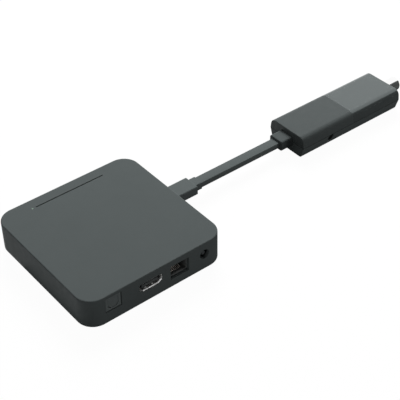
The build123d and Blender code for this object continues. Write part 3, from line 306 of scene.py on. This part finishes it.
def overlay(material, colour, axis, low, high):
    """Lays another colour over a material where one Object coordinate lies between two values;
    here it paints shade at the seam and highlights on socket rims.
    """
    tree = material.node_tree
    shader = principled(material)
    place = tree.nodes.new("ShaderNodeTexCoord")
    parts = tree.nodes.new("ShaderNodeSeparateXYZ")
    near = tree.nodes.new("ShaderNodeMath")
    near.operation = "COMPARE"
    near.inputs[1].default_value = (low + high) / 2
    near.inputs[2].default_value = (high - low) / 2
    mix = tree.nodes.new("ShaderNodeMix")
    mix.data_type = "RGBA"
    tree.links.new(place.outputs["Object"], parts.inputs["Vector"])
    tree.links.new(parts.outputs[axis], near.inputs[0])
    tree.links.new(near.outputs[0], mix.inputs["Factor"])
    tree.links.new(shader.inputs["Base Color"].links[0].from_socket, mix.inputs["A"])
    mix.inputs["B"].default_value = (*colour, 1)
    tree.links.new(mix.outputs["Result"], shader.inputs["Base Color"])


def dress(material, *nodes):
    """Gives these CAD nodes one material."""
    for node in nodes:
        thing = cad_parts[node]
        thing.data.materials.clear()
        thing.data.materials.append(material)


def deselect():
    """Nothing stays selected, so that the next tool acts on the new piece alone."""
    if bpy.context.object and bpy.context.object.mode != "OBJECT":
        bpy.ops.object.mode_set(mode="OBJECT")
    bpy.ops.object.select_all(action="DESELECT")


def select_edges(thing, wanted):
    """Goes into edit mode with the edges selected whose two ends the test accepts."""
    bpy.ops.object.mode_set(mode="EDIT")
    bpy.ops.mesh.select_mode(type="EDGE")
    bpy.ops.mesh.select_all(action="DESELECT")
    bpy.ops.object.mode_set(mode="OBJECT")
    points = thing.data.vertices
    for edge in thing.data.edges:
        edge.select = wanted(points[edge.vertices[0]].co, points[edge.vertices[1]].co)
    bpy.ops.object.mode_set(mode="EDIT")


# Camera and stage

class STREAMBOX_OT_camera(bpy.types.Operator):
    """Adds the camera and aims it at the box and its stick"""

    bl_idname = "streambox.camera"
    bl_label = "Camera"

    def execute(self, context):
        """Stands the camera at its angle and distance, with its small roll."""
        light = context.scene.streambox_light
        deselect()
        bpy.ops.object.camera_add()
        camera = context.object
        camera.name = "studio_camera"
        a, e, r = light.azimuth, light.elevation, light.roll
        back = Vector((math.sin(a) * math.cos(e), -math.cos(a) * math.cos(e), math.sin(e)))
        right = Vector((0, 0, 1)).cross(back).normalized()
        up = back.cross(right)
        right, up = (
            math.cos(r) * right + math.sin(r) * up,
            math.cos(r) * up - math.sin(r) * right,
        )
        place = Matrix((right, up, back)).transposed().to_4x4()
        place.translation = CAMERA_TARGET + back * light.distance
        camera.matrix_world = place
        camera.data.lens = light.lens
        camera.data.sensor_width = 36
        camera.data.clip_start = 0.01
        context.scene.camera = camera
        return {"FINISHED"}


class STREAMBOX_OT_stage(bpy.types.Operator):
    """Adds the floor, the lamps and the plain surround"""

    bl_idname = "streambox.stage"
    bl_label = "Stage"

    def execute(self, context):
        """Lays the floor, hangs the lamps and sets the surround."""
        light = context.scene.streambox_light
        deselect()
        bpy.ops.mesh.primitive_plane_add(size=FLOOR_SIDE, location=FLOOR_PLACE)
        floor = context.object
        floor.name = "studio_floor"
        material = bpy.data.materials.new("pale floor")
        material.use_nodes = True
        self.white_where_seen(material.node_tree, light.floor_colour, is_floor=True)
        floor.data.materials.append(material)
        self.dark_card()
        for name, (place, target, size) in LAMPS.items():
            self.lamp(f"{name}_lamp", place, target, size, getattr(light, name))
        world = bpy.data.worlds.new("plain surround")
        world.use_nodes = True
        context.scene.world = world
        grey = light.surround
        self.white_where_seen(world.node_tree, (grey, grey, grey), is_floor=False)
        return {"FINISHED"}

    def dark_card(self):
        """A card before the ports and under the stick, dark and seen only by shiny faces: painted
        shade in their reflections.
        """
        deselect()
        bpy.ops.mesh.primitive_plane_add(size=1, location=CARD_PLACE)
        card = bpy.context.object
        card.name = "dark_card"
        bpy.ops.transform.resize(value=(CARD_LENGTH, CARD_DEPTH, 1))
        bpy.ops.object.transform_apply(location=True, rotation=True, scale=True)
        front = min(v.co.y for v in card.data.vertices)
        select_edges(card, lambda a, b: max(abs(a.y - front), abs(b.y - front)) < 0.001)
        bpy.ops.mesh.extrude_region_move(TRANSFORM_OT_translate={"value": (0, 0, CARD_HEIGHT)})
        bpy.ops.object.mode_set(mode="OBJECT")
        finish = moulded("dark card", (0.045, 0.047, 0.047), roughness=0.9, gloss=0.0, grain=0.002)
        card.data.materials.append(finish)
        card.visible_camera = False
        card.visible_diffuse = False
        card.visible_transmission = False
        card.visible_shadow = False

    def lamp(self, name, place, target, size, power):
        """A soft lamp that faces its target and leaves no glare on shiny faces."""
        deselect()
        bpy.ops.object.light_add(type="AREA", location=place)
        lamp = bpy.context.object
        lamp.name = name
        lamp.data.shape = "RECTANGLE"
        lamp.data.size, lamp.data.size_y = size
        lamp.data.energy = power
        lamp.visible_glossy = False
        away = Vector(place) - Vector(target)
        lamp.rotation_euler = away.to_track_quat("Z", "Y").to_euler()

    def white_where_seen(self, tree, colour, is_floor):
        """Plain colour for light that bounces, white where the camera or a shiny piece sees it."""
        tree.nodes.clear()
        path = tree.nodes.new("ShaderNodeLightPath")
        seen = tree.nodes.new("ShaderNodeMath")
        seen.operation = "ADD"
        tree.links.new(path.outputs["Is Camera Ray"], seen.inputs[0])
        tree.links.new(path.outputs["Is Glossy Ray"], seen.inputs[1])
        through = tree.nodes.new("ShaderNodeMath")
        through.operation = "ADD"
        through.use_clamp = True
        tree.links.new(seen.outputs[0], through.inputs[0])
        tree.links.new(path.outputs["Is Transmission Ray"], through.inputs[1])
        white = tree.nodes.new("ShaderNodeEmission" if is_floor else "ShaderNodeBackground")
        white.inputs["Color"].default_value = (1, 1, 1, 1)
        plain = tree.nodes.new("ShaderNodeBsdfDiffuse" if is_floor else "ShaderNodeBackground")
        plain.inputs["Color"].default_value = (*colour, 1)
        mix = tree.nodes.new("ShaderNodeMixShader")
        share = through.outputs[0]
        if is_floor:
            pale = tree.nodes.new("ShaderNodeMix")
            pale.data_type = "RGBA"
            pale.inputs["A"].default_value = (*colour, 1)
            pale.inputs["B"].default_value = (1, 1, 1, 1)
            tree.links.new(share, pale.inputs["Factor"])
            tree.links.new(pale.outputs["Result"], plain.inputs["Color"])
            part = tree.nodes.new("ShaderNodeMath")
            part.operation = "MULTIPLY"
            part.inputs[1].default_value = FLOOR_GLOW
            tree.links.new(share, part.inputs[0])
            share = part.outputs[0]
        tree.links.new(share, mix.inputs[0])
        tree.links.new(plain.outputs[0], mix.inputs[1])
        tree.links.new(white.outputs[0], mix.inputs[2])
        kind = "ShaderNodeOutputMaterial" if is_floor else "ShaderNodeOutputWorld"
        output = tree.nodes.new(kind)
        tree.links.new(mix.outputs[0], output.inputs["Surface"])


# Cable

class STREAMBOX_OT_cable(bpy.types.Operator):
    """Runs the flat cable from the plug's relief to the boot on the stick"""

    bl_idname = "streambox.cable"
    bl_label = "Flat cable"

    def execute(self, context):
        """One straight line with a flat section that has round edges."""
        size = context.scene.streambox_cable
        route = [
            (CABLE_START + (CABLE_END - CABLE_START) * share, CABLE_Y, CABLE_Z)
            for share in (0, 1 / 3, 2 / 3, 1)
        ]
        section = self.section(size)
        line = bpy.data.curves.new("flat_cable_run", "CURVE")
        line.dimensions = "3D"
        line.twist_mode = "Z_UP"
        spline = line.splines.new("NURBS")
        spline.points.add(len(route) - 1)
        for point, place in zip(spline.points, route):
            point.co = (*place, 1)
        spline.order_u = 3
        spline.use_endpoint_u = True
        line.bevel_mode = "OBJECT"
        line.bevel_object = section
        line.use_fill_caps = True
        cable = bpy.data.objects.new("flat_cable_run", line)
        context.scene.collection.objects.link(cable)
        colour = context.scene.streambox_finish.cable_colour
        line.materials.append(moulded(
            "cable jacket", colour, roughness=0.6, gloss=0.1, grain=0.0006, depth=0.000012,
        ))
        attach(cable, "stick")
        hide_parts("flat_cable")
        return {"FINISHED"}

    def section(self, size):
        """The cable's section: a flat bar with round edges."""
        deselect()
        bpy.ops.mesh.primitive_plane_add(size=1, location=(0, 0, 0))
        plate = bpy.context.object
        plate.name = "cable_section"
        plate.scale = (size.width, size.thickness, 1)
        bpy.ops.object.transform_apply(location=True, rotation=True, scale=True)
        bpy.ops.object.mode_set(mode="EDIT")
        bpy.ops.mesh.select_all(action="SELECT")
        bpy.ops.mesh.bevel(offset=size.corner, segments=6, affect="VERTICES")
        bpy.ops.mesh.delete(type="ONLY_FACE")
        bpy.ops.object.mode_set(mode="OBJECT")
        bpy.ops.object.convert(target="CURVE")
        section = bpy.context.object
        section.hide_render = True
        return section


# Finishes on the CAD pieces

class STREAMBOX_OT_mouldings(bpy.types.Operator):
    """Finishes the box, the plug, the boot and the stick"""

    bl_idname = "streambox.mouldings"
    bl_label = "Mouldings"

    def execute(self, context):
        """Satin plastic on all but the stick's glossier half."""
        f = context.scene.streambox_finish
        dress(moulded(
            "box moulding", f.shell_colour,
            roughness=0.55, gloss=0.06, grain=f.grain, depth=0.00001, edge=0.0003,
        ), "top_shell")
        dress(moulded(
            "base moulding", scaled(f.shell_colour, 0.8),
            roughness=0.6, gloss=0.2, grain=0.0007, depth=0.00002,
        ), "base_plate")
        dress(moulded(
            "plug moulding", f.cable_colour,
            roughness=0.55, gloss=0.12, grain=f.grain, depth=0.00001, edge=0.0002,
        ), "plug_housing", "plug_relief")
        dress(moulded(
            "boot moulding", scaled(f.cable_colour, 0.74),
            roughness=0.55, gloss=0.12, grain=f.grain, depth=0.00001, edge=0.0012,
        ), "cable_boot")
        dress(moulded(
            "stick satin", f.stick_colour,
            roughness=0.5, gloss=0.15, grain=f.grain, depth=0.000008, edge=0.0002,
        ), "stick_rear_cover")
        gloss = moulded(
            "stick gloss", f.gloss_colour,
            roughness=0.14, gloss=1.0, grain=f.grain, depth=0.000001,
        )
        principled(gloss).inputs["Specular Tint"].default_value = (0.86, 0.98, 0.98, 1)
        dress(gloss, "stick_front_cover")
        lower = moulded(
            "stick lower", scaled(f.stick_colour, 1.3),
            roughness=0.5, gloss=0.12, grain=f.grain, depth=0.00001, edge=0.0002,
        )
        # Painted shade: a near-black band at the seam's height, standing in for the groove's
        # shadow
        overlay(lower, (0.003, 0.003, 0.003), "Z", SEAM_Z - SEAM_SHADE_WIDTH, SEAM_Z + SEAM_SHADE_WIDTH / 4)
        dress(lower, "stick_lower_shell")
        dress(moulded(
            "button", (0.01, 0.011, 0.011),
            roughness=0.3, gloss=0.3, grain=f.grain, depth=0.000006,
        ), "stick_button")
        dress(moulded(
            "foot rubber", (0.02, 0.02, 0.021),
            roughness=0.8, gloss=0.2, grain=0.0006, depth=0.00003,
        ), "foot_pad")
        return {"FINISHED"}


class STREAMBOX_OT_sockets(bpy.types.Operator):
    """Finishes the sockets, the plug ends and the aerial plug"""

    bl_idname = "streambox.sockets"
    bl_label = "Sockets and plugs"

    def execute(self, context):
        """Dark mouldings, plated shells and gold contacts."""
        fine = 0.0003
        dress(moulded(
            "socket plastic", (0.03, 0.032, 0.032),
            roughness=0.45, gloss=0.3, grain=fine, depth=0.000005,
        ), "usb_socket_tongue", "plug_core")
        dress(moulded(
            "picture socket tongue", (0.085, 0.092, 0.092),
            roughness=0.45, gloss=0.3, grain=fine, depth=0.000005,
        ), "hdmi_insulator")
        jack = moulded(
            "jack plastic", (0.10, 0.103, 0.101),
            roughness=0.4, gloss=0.4, grain=fine, depth=0.000004,
        )
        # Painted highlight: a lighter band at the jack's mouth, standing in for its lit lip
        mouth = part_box("ethernet_housing")[0].y
        overlay(jack, (0.17, 0.18, 0.18), "Y", mouth - JACK_RIM_HIGHLIGHT, mouth + JACK_RIM_HIGHLIGHT)
        dress(jack, "ethernet_housing")
        dress(moulded(
            "power socket plastic", (0.045, 0.05, 0.05),
            roughness=0.45, gloss=0.2, grain=fine, depth=0.000004,
        ), "power_housing")
        dress(moulded(
            "optical frame", (0.132, 0.149, 0.149),
            roughness=0.5, gloss=0.2, grain=fine, depth=0.000006,
        ), "optical_housing")
        dress(moulded(
            "optical door", (0.122, 0.138, 0.138),
            roughness=0.45, gloss=0.2, grain=fine, depth=0.000006,
        ), "optical_door")
        dress(moulded(
            "emitter", (0.02, 0.006, 0.006),
            roughness=0.15, gloss=0.5, grain=0.0004, depth=0.000002,
        ), "optical_emitter")
        dress(moulded(
            "aerial insulator", (0.72, 0.72, 0.70),
            roughness=0.4, gloss=0.5, grain=0.0004, depth=0.000004,
        ), "aerial_insulator")
        dress(plated("nickel plate", (0.66, 0.65, 0.63), 0.2), "usb_socket_shell", "plug_shell")
        shell = plated("dull nickel", (0.56, 0.565, 0.56), 0.22, metal=0.7)
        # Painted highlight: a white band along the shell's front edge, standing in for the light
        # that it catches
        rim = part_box("hdmi_shell")[0].y
        overlay(shell, (1.0, 1.0, 1.0), "Y", rim - SHELL_RIM_HIGHLIGHT, rim + SHELL_RIM_HIGHLIGHT)
        dress(shell, "hdmi_shell")
        bright = plated("aerial nickel", (0.96, 0.96, 0.96), 0.1, spread=0.02, along=(1, 6, 6))
        dress(bright, "aerial_sleeve", "aerial_pin")
        # Painted shade: the pin's dark colour stands in for the shade deep in its socket
        dress(plated("blackened pin", (0.10, 0.11, 0.115), 0.4, metal=0.3), "power_pin")
        dress(plated("hinge steel", (0.2, 0.2, 0.2), 0.35), "hinge_pin")
        dress(plated("gold contacts", (0.83, 0.52, 0.22), 0.22), "hdmi_contacts", "power_contact")
        dress(plated("copper contacts", (1.0, 0.9, 0.82), 0.3, metal=0.1), "ethernet_contacts")
        return {"FINISHED"}


class STREAMBOX_OT_insides(bpy.types.Operator):
    """Finishes the boards and what they carry"""

    bl_idname = "streambox.insides"
    bl_label = "Boards and parts"

    def execute(self, context):
        """Green boards, black chips, tin and aluminium."""
        dress(solder_mask("solder mask"), "main_board", "stick_board")
        dress(
            moulded(
                "chip", (0.016, 0.016, 0.017),
                roughness=0.5, gloss=0.4, grain=0.0003, depth=0.000006,
            ),
            "processor", "memory_chips", "storage_chip",
            "network_transformer", "signal_chip", "switch_plunger",
        )
        dress(
            plated("tin plate", (0.6, 0.6, 0.58), 0.34),
            "radio_can", "antennas", "ethernet_shield", "tuner_can",
        )
        dress(plated("blasted aluminium", (0.62, 0.62, 0.63), 0.45), "heat_sink")
        dress(plated("capacitor can", (0.6, 0.6, 0.62), 0.28), "capacitors")
        dress(
            plated("dark zinc", (0.22, 0.22, 0.23), 0.35),
            "base_screws", "board_screws", "stick_screws",
        )
        dress(moulded(
            "gap pad", (0.35, 0.42, 0.48),
            roughness=0.8, gloss=0.3, grain=0.0005, depth=0.00002,
        ), "thermal_pad")
        dress(moulded(
            "ferrite", (0.09, 0.09, 0.095),
            roughness=0.6, gloss=0.4, grain=0.0004, depth=0.00002,
        ), "power_coils")
        dress(light_moulding("opal", (0.82, 0.82, 0.76)), "status_led", "tact_switch")
        dress(light_moulding("lamp moulding", (0.20, 0.28, 0.23)), "light_pipe")
        return {"FINISHED"}


class STREAMBOX_PT_panel(bpy.types.Panel):
    """Lists the steps that build the box's looks"""

    bl_idname = "STREAMBOX_PT_panel"
    bl_label = "Streaming box"
    bl_space_type = "VIEW_3D"
    bl_region_type = "UI"
    bl_category = "Streaming box"

    def draw(self, context):
        """The sizes and colours first, then the steps in their order."""
        for group in ("streambox_finish", "streambox_cable", "streambox_light"):
            values = getattr(context.scene, group)
            for key in values.__annotations__:
                self.layout.prop(values, key)
        for step in STEPS:
            self.layout.operator(step.bl_idname)


GROUPS = (
    ("streambox_finish", BoxFinish),
    ("streambox_cable", CableSize),
    ("streambox_light", StageLight),
)
STEPS = (
    STREAMBOX_OT_camera,
    STREAMBOX_OT_cable,
    STREAMBOX_OT_mouldings,
    STREAMBOX_OT_sockets,
    STREAMBOX_OT_insides,
    STREAMBOX_OT_stage,
)


def register():
    """Registers the values, the steps and the panel."""
    for name, group in GROUPS:
        bpy.utils.register_class(group)
        setattr(bpy.types.Scene, name, bpy.props.PointerProperty(type=group))
    for step in STEPS:
        bpy.utils.register_class(step)
    bpy.utils.register_class(STREAMBOX_PT_panel)


def unregister():
    """Takes away what register added."""
    bpy.utils.unregister_class(STREAMBOX_PT_panel)
    for step in reversed(STEPS):
        bpy.utils.unregister_class(step)
    for name, group in reversed(GROUPS):
        delattr(bpy.types.Scene, name)
        bpy.utils.unregister_class(group)


def main():
    """Runs every step in order."""
    register()
    bpy.context.scene.view_settings.view_transform = "Standard"
    bpy.ops.streambox.camera()
    bpy.ops.streambox.cable()
    bpy.ops.streambox.mouldings()
    bpy.ops.streambox.sockets()
    bpy.ops.streambox.insides()
    bpy.ops.streambox.stage()


if __name__ == "__main__":
    main()
